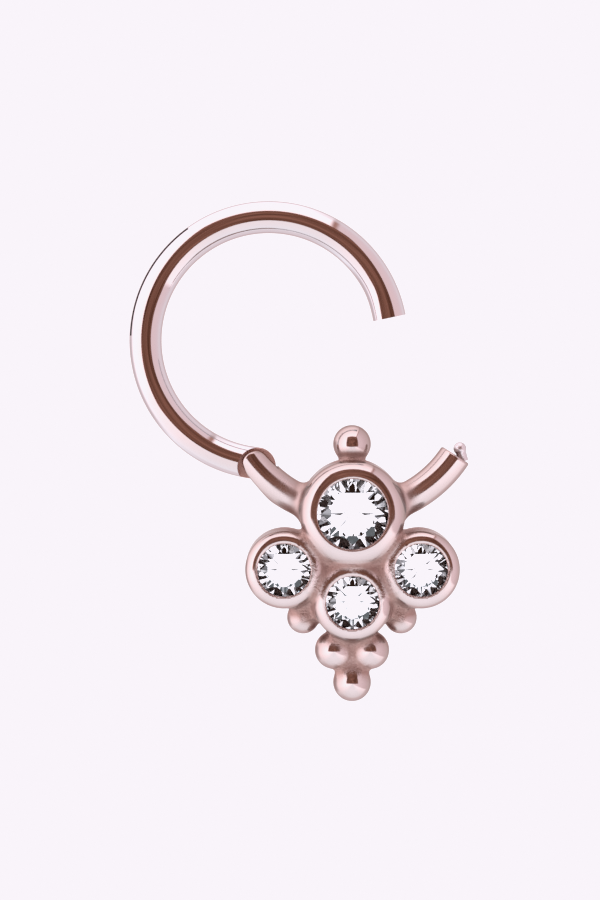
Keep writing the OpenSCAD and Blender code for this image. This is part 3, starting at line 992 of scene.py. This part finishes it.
def level_arc(name, middle, radii, ends, z, material, steps=24):
    """A level band round a middle: points at both radii, at even angles between the two ends."""
    a = np.linspace(*ends, steps)
    height = np.full(steps, float(z))
    rows = [np.stack([middle[0] + r * np.cos(a), middle[1] + r * np.sin(a), height], 1)
            for r in radii]
    i = np.arange(steps - 1)
    faces = np.stack([i, i + steps, i + steps + 1, i + 1], 1)
    sheet = make_piece(name, np.concatenate(rows), faces, material, smooth=False)
    return sheet


hoop_middle = with_hoop(np.append(HOOP_MID, 0.0)[None])[0]
dark_arc = level_arc("dark_arc_below", hoop_middle, PAPER_R, PAPER_ENDS, PAPER_Z,
                     flat_emitter("dark_paper", PAPER_BLACK))
for sheet in (card, dark_arc):
    sheet.visible_camera = False
    sheet.visible_diffuse = False
    sheet.visible_transmission = False
    sheet.visible_shadow = False


def build_world():
    """Studio light by direction, seen only in the metal and through the stones.

    The metal sees white all round, paler or greyer on the right, the near side and low down, with
    a brown edge beside the right. Metal seen in other metal mirrors it with a tint. Rays that
    have been through a stone see white overhead, with a ragged border, and patches of black,
    grey and white round it. The eye itself sees plain white.
    """
    world = bpy.data.worlds.new("studio")
    bpy.context.scene.world = world
    nodes, links = new_nodes(world)
    place = nodes.new("ShaderNodeTexCoord")
    split = nodes.new("ShaderNodeSeparateXYZ")
    links.new(place.outputs["Generated"], split.inputs[0])

    def mask(source, low, high):
        """Rises from 0 at low to 1 at high."""
        share = add_node(nodes, "ShaderNodeMapRange", {"From Min": low, "From Max": high})
        links.new(source, share.inputs["Value"])
        return share.outputs["Result"]

    def both(one, two):
        """The product of two masks."""
        product = add_node(nodes, "ShaderNodeMath", operation="MULTIPLY")
        links.new(one, product.inputs[0])
        links.new(two, product.inputs[1])
        return product.outputs[0]

    def blend(share, below, above):
        """Colour below where share is 0 and above where it is 1."""
        mix = add_node(nodes, "ShaderNodeMix", data_type="RGBA")
        links.new(share, mix.inputs["Factor"])
        for slot, colour in (("A", below), ("B", above)):
            if isinstance(colour, bpy.types.NodeSocket):
                links.new(colour, mix.inputs[slot])
            else:
                mix.inputs[slot].default_value = (*colour, 1)
        return mix.outputs["Result"]

    flat = add_node(nodes, "ShaderNodeVectorMath", {1: (1, 1, 0)}, operation="MULTIPLY")
    links.new(place.outputs["Generated"], flat.inputs[0])
    level = add_node(nodes, "ShaderNodeVectorMath", operation="NORMALIZE")
    links.new(flat.outputs[0], level.inputs[0])

    def towards(degrees, low, high):
        """Rises from 0 to 1 where rays point to a side by low to high; straight at it is 1."""
        a = math.radians(degrees)
        dot = add_node(nodes, "ShaderNodeVectorMath", {1: (math.cos(a), math.sin(a), 0)},
                       operation="DOT_PRODUCT")
        links.new(level.outputs[0], dot.inputs[0])
        return mask(dot.outputs["Value"], low, high)

    height = split.outputs["Z"]
    sides = blend(towards(*NEAR_SIDE), STUDIO_WHITE, STUDIO_NEAR)
    sides = blend(towards(*RIGHT_SIDE), sides, STUDIO_RIGHT)
    border = both(towards(*EDGE_OUTER), towards(*EDGE_INNER))
    sides = blend(both(border, towards(*EDGE_FAR)), sides, STUDIO_EDGE)
    down = add_node(nodes, "ShaderNodeMath", {1: -1.0}, operation="MULTIPLY")
    links.new(height, down.inputs[0])
    low_side = both(mask(down.outputs[0], *LOW_DOWN), towards(*LOW_SIDE))
    sides = blend(low_side, sides, STUDIO_LOW)
    low_left = both(mask(down.outputs[0], *LOW_LEFT_DOWN), towards(*LOW_LEFT_SIDE))
    sides = blend(low_left, sides, STUDIO_LOW_LEFT)
    metal_sees = blend(mask(down.outputs[0], *BELOW_DOWN), sides, STUDIO_BELOW)
    patches = add_node(nodes, "ShaderNodeTexNoise",
                       {"Scale": PATCH_SCALE, "Detail": 1.0, "Roughness": 0.5})
    links.new(place.outputs["Generated"], patches.inputs["Vector"])
    around = blend(mask(patches.outputs["Fac"], *PATCH_GREY), STONE_DARK, STONE_GREY)
    around = blend(mask(patches.outputs["Fac"], *PATCH_WHITE), around, STONE_WHITE)
    ragged = add_node(nodes, "ShaderNodeTexNoise", {"Scale": RAGGED_SCALE, "Detail": 0.0})
    links.new(place.outputs["Generated"], ragged.inputs["Vector"])
    edge = add_node(nodes, "ShaderNodeMath", {1: RAGGED, 2: -RAGGED / 2}, operation="MULTIPLY_ADD")
    links.new(ragged.outputs["Fac"], edge.inputs[0])
    ragged_height = add_node(nodes, "ShaderNodeMath", operation="ADD")
    links.new(height, ragged_height.inputs[0])
    links.new(edge.outputs[0], ragged_height.inputs[1])
    stone_sees = blend(mask(ragged_height.outputs[0], *OVERHEAD), around, STONE_WHITE)
    path = nodes.new("ShaderNodeLightPath")
    again = mask(path.outputs["Ray Depth"], *AGAIN_DEPTH)
    dimmed = add_node(nodes, "ShaderNodeMix", {"Factor": 1.0}, data_type="RGBA",
                      blend_type="MULTIPLY")
    links.new(metal_sees, dimmed.inputs["A"])
    dimmed.inputs["B"].default_value = (*STUDIO_AGAIN, 1)
    metal_sees = blend(again, metal_sees, dimmed.outputs["Result"])
    through = add_node(nodes, "ShaderNodeMix", data_type="RGBA")
    links.new(path.outputs["Is Transmission Ray"], through.inputs["Factor"])
    links.new(metal_sees, through.inputs["A"])
    links.new(stone_sees, through.inputs["B"])
    mix = add_node(nodes, "ShaderNodeMix", data_type="RGBA")
    links.new(path.outputs["Is Camera Ray"], mix.inputs["Factor"])
    links.new(through.outputs["Result"], mix.inputs["A"])
    mix.inputs["B"].default_value = (SHOWN_WHITE, SHOWN_WHITE, SHOWN_WHITE, 1)
    shader = nodes.new("ShaderNodeBackground")
    links.new(mix.outputs["Result"], shader.inputs["Color"])
    out = nodes.new("ShaderNodeOutputWorld")
    links.new(shader.outputs[0], out.inputs["Surface"])


build_world()

# The camera looks straight down from above the hoop; the frame's middle lies nearer the cluster.
# In pixels of the photograph: the closed ring's centre, the spot under the camera, the height
RING_X_PX = 351.92
RING_Y_PX = 388.15
FOOT_X_PX = 300
FOOT_Y_PX = 345
HEIGHT_PX = 900
MM_PER_PX = 0.03733
CAMERA_ABOVE = 70.0
SENSOR = 36
FOOT = np.array([FOOT_X_PX - RING_X_PX, RING_Y_PX - FOOT_Y_PX]) * MM_PER_PX - MIDDLE
lens = bpy.data.cameras.new("camera")
lens.sensor_width = SENSOR
lens.lens = SENSOR * CAMERA_ABOVE / (HEIGHT_PX * MM_PER_PX)
lens.shift_y = (FOOT_Y_PX - HEIGHT_PX / 2) / HEIGHT_PX
lens.clip_start = 0.001
camera = bpy.data.objects.new("camera", lens)
bpy.context.scene.collection.objects.link(camera)
camera.location = (FOOT[0] * MM, FOOT[1] * MM, (CAMERA_ABOVE + WIRE_Z) * MM)
bpy.context.scene.camera = camera

shown = bpy.context.scene.view_settings
shown.view_transform = "Standard"
shown.use_curve_mapping = True
levels = shown.curve_mapping
levels.extend = "HORIZONTAL"
for curve, white in zip(levels.curves, PALE):
    curve.points[-1].location = (1.0, white)
levels.update()
